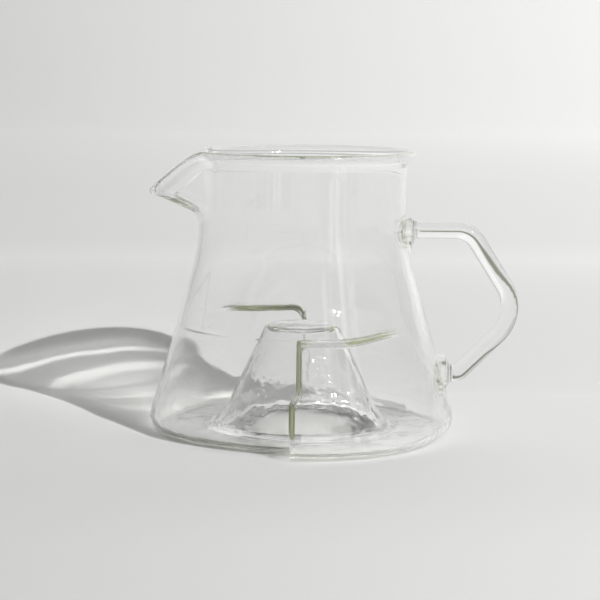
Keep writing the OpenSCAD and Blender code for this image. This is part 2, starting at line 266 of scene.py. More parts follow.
    def lip_mid(self, share):
        run = share * (self.rise + self.arc)
        if run < self.rise:
            return Vector((self.plain(self.spout_z + run) - self.wall / 2, self.spout_z + run))
        turn = (run - self.rise) / self.flare_round
        return Vector((self.neck_mid + self.flare_round * (1 - math.cos(turn)),
                       self.flare_z + self.flare_round * math.sin(turn)))

    def spout_mid(self, share):
        bend = self.spout_round * self.drawn_turn
        run = share * (bend + self.drawn_run)
        turn = min(run, bend) / self.spout_round
        rest = max(0.0, run - bend)
        return Vector((self.start_r + self.spout_round * (1 - math.cos(turn)) + rest * math.sin(turn),
                       self.spout_z + self.spout_round * math.sin(turn) + rest * math.cos(turn)))

    def pull(self, a):
        """1 at the middle of the spout, 0 at its sides."""
        away = abs((a - 270 + 180) % 360 - 180)
        return 0.0 if away >= self.spout_half else math.cos(math.pi / 2 * away / self.spout_half) ** 2

    def rim_mid(self, share, pull):
        plain, drawn = self.lip_mid(share), self.spout_mid(share)
        fall = pull ** 2 * (1 + self.level_share) / (pull + self.level_share)
        return Vector((mix(plain.x, drawn.x, pull), mix(plain.y, drawn.y, fall)))

    def rim(self, share, pull, side):
        """A point of the rim's skin; side runs from 1, outside, over the bead at 0, to -1, inside."""
        mid = self.rim_mid(share, pull)
        heading = self.rim_mid(min(1, share + 0.001), pull) - self.rim_mid(max(0, share - 0.001), pull)
        heading.normalize()
        out = Vector((heading.y, -heading.x))
        if share == 0:
            return mid + Vector((side * self.wall / 2, 0))
        half = mix(self.wall / 2, self.bead_r, soft((share - 0.8) / 0.2))
        turn = (1 - side) * math.pi / 2
        return mid + half * (math.cos(turn) * out + math.sin(turn) * heading)

    # The cone: its shoulder bends away from the axis, and its foot bends back into the floor

    def shoulder(self, share, side):
        turn, r = mix(math.pi / 2, self.cone_lean, share), self.shoulder_round - self.wall * (1 - side)
        return self.shoulder_r + r * math.cos(turn), self.cone_h - self.shoulder_round + r * math.sin(turn)

    def cone_foot(self, share, side):
        turn, r = mix(math.pi / 2, self.cone_lean, share), self.foot_round + self.wall * (1 - side)
        return self.cone_edge - r * math.cos(turn), self.wall + self.foot_round - r * math.sin(turn)

    # The profile: stations as (zone, share, side), from the axis under the cone to the axis on top of it

    def stations(self):
        wall_z = sorted(
            [mix(self.corner_z, self.jog_z - 2.5, i / 12) for i in range(1, 12)]
            + [self.jog_z - 2.5 + 5 * i / 12 for i in range(13)]
            + [mix(self.jog_z + 2.5, self.ledge_z - 4.5, i / 9) for i in range(1, 9)]
            + [self.ledge_z - 4.5 + 6 * i / 24 for i in range(25)])
        plain_z = [mix(self.steps_top, self.spout_z, i / 22) for i in range(23)]
        eight, twelve, rim = [i / 8 for i in range(9)], [i / 12 for i in range(13)], [i / 34 for i in range(35)]
        under = ([("axis", 0, 0)] + [("shoulder", t, 0) for t in eight] + [("side", t, 0) for t in eight[1:-1]]
                 + [("foot", t, 0) for t in eight[::-1]] + [("floor", t, 0) for t in eight[1:-1]]
                 + [("corner", t, 0) for t in twelve[::-1]])
        outside = [("wall", z, 0) for z in wall_z + plain_z[:-1]] + [("rim", t, 1) for t in rim]
        bead = [("rim", 1, 1 - i / 6) for i in range(1, 12)]
        inside = [("rim", t, -1) for t in rim[::-1]] + [("wall", z, 1) for z in (wall_z + plain_z[:-1])[::-1]]
        over = ([("corner", t, 1) for t in twelve] + [("floor", t, 1) for t in eight[1:-1][::-1]]
                + [("foot", t, 1) for t in eight] + [("side", t, 1) for t in eight[1:-1][::-1]]
                + [("shoulder", t, 1) for t in eight[::-1]] + [("axis", 0, 1)])
        return under + outside + bead + inside + over

    def place(self, station, a):
        """Radius, height and turned angle of a station at an angle."""
        zone, t, side = station
        if zone == "axis":
            return 0.0, self.cone_h - self.wall * (1 - side), a
        if zone == "shoulder":
            return *self.shoulder(t, side), a
        if zone == "foot":
            return *self.cone_foot(1 - t, side), a
        if zone == "side":
            top, low = self.shoulder(1, side), self.cone_foot(1, side)
            return mix(top[0], low[0], t), mix(top[1], low[1], t), a
        if zone == "floor":
            edge = self.corner(a, 1, 0)[2]
            return mix(self.cone_edge, edge, t), self.wall * side, a + t * self.turn(a, 0)
        if zone == "corner":
            r, z, _ = self.corner(a, t, self.wall * side)
            return r, z, a + self.turn(a, 0)
        if zone == "wall":
            return self.skin(a, t, side == 1), t, a + self.turn(a, t)
        p = self.rim(t, self.pull(a), side)
        return p.x, p.y, a


    # Finish of the glass at a station, from 0 to 1

    def step_tint(self, z, a):
        """The body colour in the steps' upright folds and along their ledges; on the back ledge it goes above 1,
        where it is darkened as painted shade.
        """
        if z > self.ledge_z + 5:
            return 0.0
        here = self.local(a)
        past = math.radians(here) * self.base_r
        started = soft((past + 0.8) / 1.0)
        top = self.ledge_z + self.arm_lift(here) - self.arm_below
        if 90 < a % 360 < 270:
            round_off = max(0.0, self.back_corner - past)
            top -= self.back_corner - math.sqrt(max(0.0, self.back_corner ** 2 - round_off ** 2))
            return min(1.0, 1.6 * bell(z, top, self.arm_half[1])) * started * along(self.back_colour_and_shade, here)
        half = self.fold_half[0 if z < 20 else 1]
        fold = soft((past + half) / self.fold_soft) * (1 - soft((past - half) / self.fold_soft))
        fold *= soft((self.ledge_z + 0.3 - z) / 0.8) * along(self.fold_levels, z)
        return max(fold, bell(z, top, self.arm_half[0]) * started * along(self.front_levels, here))

    def rim_tint(self, t, side, a):
        """The body colour along the bead in front, and down the spout's middle on its outside."""
        if t == 1:
            strength, at, width = self.bead_line
            return strength * soft((90 - abs((a + 180) % 360 - 180)) / 20) * bell(side, at, width)
        if side <= 0.9:
            return 0.0
        return 0.7 * soft((self.pull(a) - 0.94) / 0.05) * soft((t - 0.12) / 0.15) * (1 - soft((t - 0.88) / 0.06))

    def tint(self, station, a):
        """How much the glass shows its body colour at an angle, and how much where it is seen along its edge."""
        zone, t, side = station
        if zone == "wall":
            return self.step_tint(t, a), 0.0
        if zone == "rim":
            return self.rim_tint(t, side, a), 0.3 * soft(self.pull(a) * 2)
        if zone == "corner":
            line = soft((t - 0.66) / 0.06) * (1 - soft((t - 0.78) / 0.06))
            return along(self.foot_levels, a % 360) * line, 0.4 * soft((t - 0.3) / 0.3)
        if zone == "shoulder":
            patch = sum(strength * bell(a % 360, at, width) for at, width, strength in self.shoulder_patches)
            return patch * bell(t, 0.3, 0.16), 0.2
        return 0.0, 0.5 if zone == "side" else 0.0

    def waviness(self, station):
        """How uneven the glass is: most at the cone's foot, least up the neck."""
        zone, t, _ = station
        return {"axis": 1.0, "shoulder": 1.0, "side": 1 + 0.7 * t, "foot": 1.9, "floor": 0.6, "corner": 0.6,
                "wall": 0.55 - 0.4 * soft((t - 5) / 40), "rim": 0.15 * (1 - soft((t - 0.6) / 0.3))}[zone]


def finished(bm, name, body="root"):
    """The bmesh, scaled to metres, as a smooth object that rides on a body."""
    bmesh.ops.recalc_face_normals(bm, faces=bm.faces)
    bmesh.ops.scale(bm, vec=(MM, MM, MM), verts=bm.verts)
    for f in bm.faces:
        f.smooth = True
    mesh = bpy.data.meshes.new(name)
    bm.to_mesh(mesh)
    bm.free()
    obj = bpy.data.objects.new(name, mesh)
    bpy.context.scene.collection.objects.link(obj)
    if body:
        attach(obj, body)
    return obj


# How far the columns crowd towards the two steps, as a share of a radian
CROWDING = 0.42


def make_vessel(settings):
    """The whole vessel as one wall, spun from its profile and then drawn into its lip, spout and steps."""
    form = Form(settings)
    stations = form.stations()
    bm = bmesh.new()
    number = bm.verts.layers.int.new("station")
    olive, edge, wavy, loose = (bm.verts.layers.float.new(name) for name in ("olive", "edge", "wavy", "loose"))
    chain = []
    for i, station in enumerate(stations):
        r, z, _ = form.place(station, 90.0)
        v = bm.verts.new((r, 0, z))
        v[number] = i
        chain.append(v)
    edges = [bm.edges.new(pair) for pair in zip(chain, chain[1:])]
    bmesh.ops.spin(bm, geom=chain + edges, cent=(0, 0, 0), axis=(0, 0, 1), dvec=(0, 0, 0),
                   angle=2 * math.pi, steps=settings.columns, use_merge=True, use_duplicate=False)
    for v in bm.verts:
        station = stations[v[number]]
        v[wavy] = form.waviness(station)
        v[loose] = soft((station[1] - 0.5) / 0.2) if station[0] == "rim" else 0.0
        if station[0] == "axis":
            continue
        even = math.degrees(math.atan2(v.co.y, v.co.x)) + 90
        a = (even - math.degrees(CROWDING * math.sin(2 * math.radians(even)))) % 360
        r, z, turned = form.place(station, a)
        v[olive], v[edge] = form.tint(station, a)
        world = math.radians(turned - 90)
        v.co = (r * math.cos(world), r * math.sin(world), z)
    bmesh.ops.remove_doubles(bm, verts=[v for v in bm.verts if stations[v[number]][0] == "axis"], dist=0.01)
    bm.verts.layers.int.remove(bm.verts.layers.int["station"])
    return finished(bm, "server_vessel")


# The handle: how far its upper foot is below the lip, the height of its lower foot, and the pads' length
UPPER_DROP, LOWER_Z, PAD_LENGTH = 31.3, 23.3, 4.0
# The rod's straight runs: along its top, down its outer side (out and down), and out of its lower pad
TOP_RUN, SIDE_RUN, SIDE_DROP, FOOT_RUN = 24.9, 20.7, 32.8, 2.5
# Bend radius at each corner of the rod, and how far the upper pad sags
BENDS = (0, 10.0, 16.0, 4.6, 0)
UPPER_SAG = 2.8
# Height above and below a foot within which the rod's skin belongs to its pad, how far the pad's end sits
# in the glass of the wall, how far out its rings begin, and the height of the ridges round it
PAD_NEAR, PAD_SUNK, PAD_START, PAD_RIDGE = 12, 1.0, 1.2, 0.45


def handle_feet(form):
    """Where the rod meets the wall, as x and z: its upper and its lower foot."""
    upper_z = form.h - UPPER_DROP
    return (form.plain(upper_z), upper_z), (form.plain(LOWER_Z), LOWER_Z)


def handle_corners(form):
    (top_x, upper_z), (low_x, lower_z) = handle_feet(form)
    return [(top_x + PAD_LENGTH, upper_z), (top_x + TOP_RUN, upper_z),
            (top_x + TOP_RUN + SIDE_RUN, upper_z - SIDE_DROP),
            (low_x + PAD_LENGTH + FOOT_RUN, lower_z), (low_x + PAD_LENGTH, lower_z)]


def rod_course(corners):
    """Points along the rod's axis with their headings, about 0.5 mm apart."""
    points = [Vector(c) for c in corners]
    course, place = [], points[0]
    for before, here, after, bend in zip(points, points[1:], points[2:], BENDS[1:]):
        into, out = (here - before).normalized(), (after - here).normalized()
        run = bend * math.tan(into.angle(out) / 2)
        start, end = here - into * run, here + out * run
        count = max(2, int((start - place).length / 0.5))
        course += [(place.lerp(start, i / count), into) for i in range(count)]
        course += [(start.lerp(here, t).lerp(here.lerp(end, t), t), into.lerp(out, t).normalized())
                   for t in (i / 16 for i in range(16))]
        place = end
    return course + [(place.lerp(points[-1], i / 8), (points[-1] - place).normalized()) for i in range(9)]


# Where the painted dark line in the rod runs, in place of the dark streak that the clear rod picks up from its
# surroundings: share of the way along it, its angle from the front towards the outside of the bend, in degrees,
# its half width, in degrees, and its strength
PAINTED_ROD_LINE = (
    (0.0, -4, 4, 0.7), (0.2, -4, 4, 0.8), (0.3, 2, 7, 0.9), (0.36, 6, 12, 1.0), (0.45, 12, 12, 1.0),
    (0.52, 30, 9, 1.0), (0.58, 62, 7, 0.9), (0.64, 58, 6, 0.9), (0.72, 30, 6, 1.0), (0.9, 24, 7, 1.0),
    (0.96, 20, 12, 1.0), (1.0, 10, 20, 0.9))
# Dark lines across a pad: their places as a share of its length, their half width and their strength
PAD_LINES, PAD_LINE_WIDTH, PAD_LINE_SHARE = (0.1, 0.5, 0.68), 0.045, 0.75


def painted_rod_line_share(course, v):
    """How strongly the painted dark line, which stands in for the dark streak the clear rod shows, shows at a point
    of the rod's skin.
    """
    here = Vector((v.x, v.z))
    i = min(range(0, len(course), 2), key=lambda n: (course[n][0] - here).length_squared)
    centre, heading = course[i]
    share = i / (len(course) - 1)
    angle = math.degrees(math.atan2((here - centre).dot(Vector((-heading.y, heading.x))), -v.y))
    for before, after in zip(PAINTED_ROD_LINE, PAINTED_ROD_LINE[1:]):
        if share <= after[0]:
            t = (share - before[0]) / (after[0] - before[0])
            at, width, strength = (mix(before[k], after[k], t) for k in (1, 2, 3))
            return strength * bell(angle, at, width)
    return 0.0


def pad_rings(foot, rod_r, pad_r, sag):
    """Rings from inside the wall out to the rod, as x, radius and z."""
    wall_x, z = foot
    rings = [(wall_x - PAD_SUNK, pad_r, z - sag), (wall_x, pad_r, z - sag)]
    for i in range(29):
        share = i / 28
        spread = (1 - share) ** 2
        ridges = PAD_RIDGE * math.sin(3 * math.pi * share) ** 2 * (1 - share)
        rings.append((wall_x + mix(PAD_START, PAD_LENGTH, share), mix(rod_r, pad_r, spread) + ridges,
                      z - sag * spread))
    return rings


def draw_out(bm, loop, vec):
    """The loop's next ring, moved on by a vector: its edges and its vertices."""
    out = bmesh.ops.extrude_edge_only(bm, edges=loop)["geom"]
    verts = [g for g in out if isinstance(g, bmesh.types.BMVert)]
    bmesh.ops.translate(bm, verts=verts, vec=vec)
    return [g for g in out if isinstance(g, bmesh.types.BMEdge)], verts


def follow_rings(bm, loop, rings):
    """Draw the loop out through rings of other sizes."""
    for before, after in zip(rings, rings[1:]):
        loop, verts = draw_out(bm, loop, (after[0] - before[0], 0, after[2] - before[2]))
        bmesh.ops.scale(bm, vec=(after[1] / before[1],) * 3, verts=verts,
                        space=Matrix.Translation((-after[0], 0, -after[2])))
    return loop


def bend_rod(bm, loop, corners):
    """Draw the loop along the rod's straights and round its bends; its last ring and the place it has reached."""
    points = [Vector((x, 0, z)) for x, z in corners]
    place = points[0]
    for before, here, after, bend in zip(points, points[1:], points[2:], BENDS[1:]):
        into, out = (here - before).normalized(), (after - here).normalized()
        turn = into.angle(out)
        start = here - into * bend * math.tan(turn / 2)
        count = max(2, round((start - place).length / 1.6))
        for _ in range(count):
            loop, _ = draw_out(bm, loop, (start - place) / count)
        side = Vector((into.z, 0, -into.x))
        if side.dot(out) < 0:
            side.negate()
        result = bmesh.ops.spin(bm, geom=loop, cent=start + side * bend, axis=into.cross(side), dvec=(0, 0, 0),
                                angle=turn, steps=max(6, round(math.degrees(turn) / 3)), use_merge=False,
                                use_duplicate=False)
        loop = [g for g in result["geom_last"] if isinstance(g, bmesh.types.BMEdge)]
        place = here + out * bend * math.tan(turn / 2)
    return loop, place


def make_handle(vessel, s):
    """The rod with its two spread ends, drawn out of one circle from the upper foot to the lower one."""
    form = Form(vessel)
    feet, corners, rod_r = handle_feet(form), handle_corners(form), s.rod_d / 2
    bm = bmesh.new()
    first, last = pad_rings(feet[0], rod_r, s.pad_r, UPPER_SAG), pad_rings(feet[1], rod_r, s.pad_r, 0)[::-1]
    bmesh.ops.create_circle(bm, cap_ends=False, radius=first[0][1], segments=s.sides)
    bmesh.ops.rotate(bm, verts=bm.verts, cent=(0, 0, 0), matrix=Matrix.Rotation(math.radians(90), 3, "Y"))
    bmesh.ops.translate(bm, verts=bm.verts, vec=(first[0][0], 0, first[0][2]))
    loop, place = bend_rod(bm, follow_rings(bm, list(bm.edges), first), corners)
    loop, _ = draw_out(bm, loop, Vector((last[0][0], 0, last[0][2])) - place)
    follow_rings(bm, loop, last)

    olive, loose = bm.verts.layers.float.new("olive"), bm.verts.layers.float.new("loose")
    course = rod_course(corners)
    for v in bm.verts:
        near = [foot for foot in feet if v.co.x < foot[0] + PAD_LENGTH and abs(v.co.z - foot[1]) < PAD_NEAR]
        if near:
            wall_x, z = near[0]
            share = (v.co.x - wall_x - PAD_START) / (PAD_LENGTH - PAD_START)
            bowed = share + 0.25 - 0.35 * ((v.co.z - z) / s.pad_r) ** 2
            v[olive] = PAD_LINE_SHARE * max(bell(bowed, line, PAD_LINE_WIDTH) for line in PAD_LINES)
            v[loose] = 1.0
        else:
            v[olive] = painted_rod_line_share(course, v.co)
    bmesh.ops.holes_fill(bm, edges=[e for e in bm.edges if e.is_boundary], sides=0)

    # The pads' ends follow the wall's curve
    for v in bm.verts:
        for wall_x, z in feet:
            if v.co.x < wall_x + PAD_START - 0.1 and abs(v.co.z - z) < PAD_NEAR:
                bow = form.plain(v.co.z) - wall_x + math.sqrt(wall_x ** 2 - v.co.y ** 2) - wall_x
                v.co.x += bow * (1 if v.co.x < wall_x + 0.01 else 0.6)
    return finished(bm, "server_handle")


# Materials

# Places of the two colours and of the result on a colour Mix node
COLOUR_A, COLOUR_B, MIXED = 6, 7, 2


class Nodes:
    """Adds and joins the nodes of one material or of the world."""

    def __init__(self, tree):
        self.tree = tree

    def join(self, out, into):
        self.tree.links.new(out, into)

    def add(self, kind, at, inputs=None, **settings):
        """A node at a place in the editor; each input is given as a value or as the socket that feeds it."""
        n = self.tree.nodes.new("ShaderNode" + kind)
        n.location = at
        for key, value in settings.items():
            setattr(n, key, value)
        for key, value in (inputs or {}).items():
            if isinstance(value, bpy.types.NodeSocket):
                self.join(value, n.inputs[key])
            else:
                n.inputs[key].default_value = value
        return n

    def maths(self, kind, at, *values):
        return self.add("Math", at, dict(enumerate(values)), operation=kind).outputs[0]

    def ranged(self, value, lo, hi, to_lo, to_hi, at):
        return self.add("MapRange", at, {"Value": value, "From Min": lo, "From Max": hi,
                                         "To Min": to_lo, "To Max": to_hi}).outputs["Result"]

    def noise(self, place, scale, detail, at):
        return self.add("TexNoise", at, {"Vector": place, "Scale": scale, "Detail": detail}).outputs["Fac"]

    def length(self, vector, at):
        return self.add("VectorMath", at, {0: vector}, operation="LENGTH").outputs["Value"]

    def layer(self, name, at):
        """A number that the mesh stores at its points."""
        return self.add("Attribute", at, attribute_name=name).outputs["Fac"]

    def object_place(self, at):
        """The place on the object, and its x, y and z."""
        place = self.add("TexCoord", at).outputs["Object"]
        return place, self.add("SeparateXYZ", (at[0] + 200, at[1] - 200), {0: place}).outputs

    def ramp(self, value, stops, at):
        """Colours by a value from 0 to 1; a stop is a place and a colour."""
        n = self.add("ValToRGB", at, {0: value})
        while len(n.color_ramp.elements) < len(stops):
            n.color_ramp.elements.new(0.5)
        for element, (place, colour) in zip(n.color_ramp.elements, stops):
            element.position = place
            element.color = (*colour, 1)
        return n.outputs[0]


def fresh_material(name):
    m = bpy.data.materials.new(name)
    m.use_nodes = True
    return m, Nodes(m.node_tree)


# Marks round a foot of the handle: reach across and upright in mm, and the lines from its middle outwards
FOOT_MARKS = (4.6, 6.6, ((0.26, 0.0), (0.36, 0.6), (0.46, 0.0), (0.56, 0.0), (0.66, 0.45), (0.76, 0.0), (0.86, 0.0),
                         (0.94, 0.3), (1.0, 0.0)))

# Light that one surface of the vessel, or of the rod, lets through by height in mm, for the shadow's pattern
SHADOW_RINGS = (
    (0.0, 0.71), (20.0, 0.69), (44.0, 0.60), (50.0, 0.51), (66.0, 0.48), (70.0, 0.81), (77.0, 0.90), (80.0, 0.42),
    (90.5, 0.38), (93.5, 1.05), (95.0, 1.05), (97.0, 0.49), (101.0, 0.60), (106.0, 0.41), (112.0, 0.24))
ROD_RINGS = ((0.0, 0.6), (112.0, 0.6))

# Finish of a glass: depth of its waves in metres, their strength, and its body colour
VESSEL_FINISH = (0.0012, 0.25, (0.36, 0.38, 0.23))
# The rod's colour is a dark grey: it paints the rod's dark line and the lines across its pads
ROD_FINISH = (0.0008, 0.15, (0.20, 0.20, 0.155))

# Scale and detail of the wide, the middle and the fine unevenness of glass
GLASS_NOISES = ((45.0, 1.0), (130.0, 1.5), (600.0, 2.0))
# The coat that mirrors the lamp: its share, its roughness and the strength of its waves
COAT_SHARE, COAT_ROUGHNESS, COAT_WAVES = 0.5, 0.045, 0.8
# Roughness where the fine unevenness is greatest
HAZE = 0.02
# The body colour's strength, what stays clear in it, and the tone of its painted shade, which darkens it where it is
# strongest
BODY_STRENGTH, BODY_CLEAR, BODY_SHADE = 2.5, 0.12, 0.35
# Turns after which light leaves the glass: where it is firm, and where it is loose
FIRM_TURNS, LOOSE_TURNS = 8.5, 1.5
# What a lamp's light keeps where it meets the glass squarely, and where it only grazes it
SQUARE_SHARE, GRAZING_SHARE = 1.12, 0.15


def foot_marks(t, place, ahead, foot, y):
    """Fine lines round one foot of the handle, on the half of the vessel in front of it."""
    reach_x, reach_z, lines = FOOT_MARKS
    across, upright = 1 / (reach_x * MM), 1 / (reach_z * MM)
    spread = t.add("Mapping", (-900, y), {"Vector": place, "Scale": (across, 0, upright),
                                          "Location": (-foot[0] * MM * across, 0, -foot[1] * MM * upright)})
    marks = t.ramp(t.length(spread.outputs[0], (-700, y)), [(at, (share,) * 3) for at, share in lines], (-500, y))
    return t.maths("MULTIPLY", (-400, y + 100), marks, ahead)


def glass_surface(t, settings, finish, place, parts, noises, feet):
    """The glass itself: waves and glints in its skin, and its body colour where it is folded or seen edge on,
    darkened as painted shade where it is strongest; on the rod that colour paints its dark line.
    """
    waviness, strength, tint = finish
    wide, mid, fine = noises
    wavy = t.layer("wavy", (-600, -200))

    # Soft waves, more of them where the glass was worked most
    waves = t.maths("ADD", (-300, 0), t.maths("MULTIPLY", (-600, -100), mid, 0.7),
                    t.maths("MULTIPLY", (-400, 400), wide, 1.5))
    bump = t.add("Bump", (300, -100), {"Strength": strength, "Distance": waviness,
                                       "Height": t.maths("MULTIPLY", (0, 0), waves, wavy)})
    rough = t.maths("MULTIPLY", (-300, 300), mid, t.maths("ADD", (-500, 300), wavy, 0.25))
    glints = t.add("Bump", (300, -300), {"Strength": COAT_WAVES, "Distance": waviness * 2,
                                         "Height": t.maths("ADD", (0, 250), wide, rough)})

    # Body colour of the folds, the marks at the handle's feet and the edges; on the rod, its painted dark line
    body = t.layer("olive", (-600, 550))
    ahead = t.ranged(parts["Y"], -0.004, 0.0, 1.0, 0.0, (-700, 1500))
    for i, foot in enumerate(feet):
        y = 900 + 300 * i
        body = t.maths("ADD", (-300, y), body, foot_marks(t, place, ahead, foot, y))
    slant = t.add("LayerWeight", (-600, 700), {"Blend": 0.5}).outputs["Facing"]
    edge_on = t.maths("MULTIPLY", (-200, 800), t.layer("edge", (-600, 850)),
                      t.ranged(slant, 0.5, 0.85, 0.0, 0.5, (-400, 700)))
    share = t.maths("ADD", (0, 600), t.maths("MULTIPLY", (-200, 600), body, BODY_STRENGTH), edge_on)
    tone = t.add("Mix", (200, 500), {0: share}, data_type="RGBA")
    tone.inputs[COLOUR_A].default_value = (1, 1, 1, 1)
    tone.inputs[COLOUR_B].default_value = (*tint, 1)
    # Painted shade: where the body colour goes above 1, on the back ledge and a patch of the cone's shoulder, it is
    # darkened
    shaded_tone = t.add("VectorMath", (400, 500), {0: tone.outputs[MIXED],
                                            "Scale": t.ranged(body, 1.0, 1.6, 1.0, BODY_SHADE, (200, 750))},
                 operation="SCALE")

    # Light inside the glass, which meets its skin from the back, finds no coat there
    back = t.add("NewGeometry", (0, 1000)).outputs["Backfacing"]
    glass = t.add("BsdfPrincipled", (600, 100), {
        "IOR": settings.ior, "Coat Roughness": COAT_ROUGHNESS,
        "Coat Weight": t.ranged(back, 0.0, 1.0, COAT_SHARE, 0.0, (200, 1000)),
        "Roughness": t.ranged(fine, 0.45, 0.75, 0.0, HAZE, (-600, 0)),
        "Transmission Weight": t.ranged(body, 0.0, 1.0, 1.0, BODY_CLEAR, (0, 750)),
        "Base Color": shaded_tone.outputs[0], "Normal": bump.outputs["Normal"], "Coat Normal": glints.outputs["Normal"]})
    return glass.outputs[0], slant


def lamp_share(t, rings, parts, wide, slant):
    """What a lamp's light keeps on its way through, by height and by how squarely it meets the glass."""
    sway = t.ranged(wide, 0.3, 0.7, -0.0018, 0.0018, (-600, -650))
    top = rings[-1][0]
    height = t.ranged(t.maths("ADD", (-400, -500), parts["Z"], sway), 0.0, top * MM, 0.0, 1.0, (-300, -350))
    ramp = t.ramp(height, [(z / top, (share, share, share * 0.985)) for z, share in rings], (-200, -500))
    bent = t.ranged(slant, 0.35, 1.0, SQUARE_SHARE, GRAZING_SHARE, (-100, -800))
    worked = t.ranged(t.layer("wavy", (-600, -900)), 0.7, 1.0, 0.0, 1.0, (-400, -900))
    most = t.maths("MAXIMUM", (100, -900), bent, worked)
    kept = t.add("Mix", (300, -600), {0: 1.0, COLOUR_A: ramp, COLOUR_B: most},
                 data_type="RGBA", blend_type="MULTIPLY", clamp_result=False)
    return t.add("BsdfTransparent", (600, -500), {"Color": kept.outputs[MIXED]}).outputs[0]


def glass_material(name, settings, finish, rings, feet=()):
    """Clear glass that lets lamps through, slightly uneven, with a body colour in its folds.

    The rings are heights in mm with the light that one surface lets through there, for the pattern in the shadow.
    The feet are places, x and z in mm, where the handle meets the wall, with lines of body colour round about.
    """
    m, t = fresh_material(name)
    t.tree.nodes.clear()
    place, parts = t.object_place((-1200, 0))
    noises = [t.noise(place, *numbers, (-900, y)) for numbers, y in zip(GLASS_NOISES, (400, 200, 0))]
    glass, slant = glass_surface(t, settings, finish, place, parts, noises, feet)

    # Light that runs round and round inside the glass leaves it after some turns, the fewer the looser it is
    path = t.add("LightPath", (600, 500)).outputs
    turns = t.ranged(t.layer("loose", (400, 700)), 0.0, 1.0, FIRM_TURNS, LOOSE_TURNS, (600, 700))
    left = t.maths("GREATER_THAN", (700, 350), path["Ray Depth"], turns)
    free = t.add("MixShader", (800, 200), {0: left, 1: glass, 2: t.add("BsdfTransparent", (700, 0)).outputs[0]})
    both = t.add("MixShader", (1000, 0), {0: path["Is Shadow Ray"], 1: free.outputs[0],
                                          2: lamp_share(t, rings, parts, noises[0], slant)})
    depth = t.add("VolumeAbsorption", (900, -300), {"Color": (*settings.tint, 1), "Density": settings.density})
    t.add("OutputMaterial", (1200, 0), {"Surface": both.outputs[0], "Volume": depth.outputs[0]})
    return m


# Tone of the board by its distance from the viewer's end, in metres, and the most that its ramp holds; this is
# painted light and shade, which sets how bright each band of the board looks
PAINTED_BOARD_LIGHT = (
    (0.0, 1.01), (0.58, 1.01), (0.66, 0.97), (0.76, 0.97), (0.84, 0.99), (0.92, 1.02), (0.97, 1.06), (1.02, 1.045),
    (1.10, 1.0), (1.6, 0.99), (2.2, 1.0), (2.6, 1.0), (2.9, 1.04), (3.3, 1.09))
BOARD_REACH, BOARD_PEAK = 4.0, 1.2
# Distance of the viewer's end from the vessel's axis, in metres
VIEWER_END = 0.76
# Painted light: the board is painted lighter to the right. How far to the left and right this painted light goes on
# changing, as a slope seen from the viewer's end, and how strongly it changes, as a distance and a strength: near by
# and far off
PAINTED_LIGHT_LEFT, PAINTED_LIGHT_RIGHT = -0.30, 0.19
PAINTED_LIGHT_NEAR, PAINTED_LIGHT_FAR = (0.7, 0.62), (3.0, 1.02)
# The board's own unevenness: scale and detail, its depth and its lowest tone
GRAIN, GRAIN_DEPTH, GRAIN_LOW = (3.0, 3.0), 0.02, 0.99
# The board under the vessel, painted darker as shade: where this painted shade ends and the rest begins, in metres,
# and its share
UNDER_EDGE, UNDER_END, UNDER_SHARE = 0.046, 0.058, 0.78


def table_material(settings):
    """Matt pale board: a barely seen unevenness, painted light that makes it lighter to the right and sets its tone
    band by band, and painted shade on its slopes that keeps them as even as a flat one under the lamp.
    """
    m, t = fresh_material("pale_board")
    paint = m.node_tree.nodes["Principled BSDF"]
    place, parts = t.object_place((-1500, 0))
    grain = t.maths("MULTIPLY_ADD", (-900, 300), t.noise(place, *GRAIN, (-1300, 300)), GRAIN_DEPTH, GRAIN_LOW)
    away = t.maths("ADD", (-1100, 0), parts["Y"], VIEWER_END)
    aside = t.maths("DIVIDE", (-900, 0), parts["X"], t.maths("MAXIMUM", (-1000, -100), away, 0.3))
    slope = t.ranged(away, PAINTED_LIGHT_NEAR[0], PAINTED_LIGHT_FAR[0], PAINTED_LIGHT_NEAR[1], PAINTED_LIGHT_FAR[1], (-900, -200))
    kept = t.maths("MINIMUM", (-650, 0), t.maths("MAXIMUM", (-750, 0), aside, PAINTED_LIGHT_LEFT), PAINTED_LIGHT_RIGHT)
    side = t.maths("MULTIPLY_ADD", (-500, 0), kept, slope, 1.0)
    stops = [(distance / BOARD_REACH, (share / BOARD_PEAK,) * 3) for distance, share in PAINTED_BOARD_LIGHT]
    ramp = t.ramp(t.maths("DIVIDE", (-900, 200), away, BOARD_REACH), stops, (-700, 200))
    level = t.maths("MULTIPLY", (-300, 0), t.maths("MULTIPLY", (-400, 100), ramp, BOARD_PEAK), side)

    # On a slope that faces the lamp the board is toned down, so it looks as even as a flat one
    normal = t.add("NewGeometry", (-1300, -500)).outputs["Normal"]
    facing = t.add("VectorMath", (-1100, -500), {0: normal, 1: TO_SUN}, operation="DOT_PRODUCT").outputs["Value"]
    lamp = settings.sun / math.pi
    met = t.maths("MULTIPLY_ADD", (-900, -500), t.maths("MAXIMUM", (-1000, -600), facing, 0.0), lamp, settings.sky)
    even = t.maths("DIVIDE", (-700, -500), lamp * TO_SUN[2] + settings.sky, met)

    # Under the vessel the board is a little darker, as there the glass lets too much of the lamp through
    under = t.ranged(t.length(place, (-1100, -800)), UNDER_EDGE, UNDER_END, UNDER_SHARE, 1.0, (-900, -800))
    total = t.maths("MULTIPLY", (0, -100), t.maths("MULTIPLY", (-100, -200), level, even), grain)
    total = t.maths("MULTIPLY", (50, -200), total, under)
    tone = t.add("VectorMath", (100, 0), {0: settings.floor_colour, "Scale": total}, operation="SCALE")
    t.join(tone.outputs[0], paint.inputs["Base Color"])
    paint.inputs["Roughness"].default_value = 0.9
    paint.inputs["Specular IOR Level"].default_value = 0.1
    return m


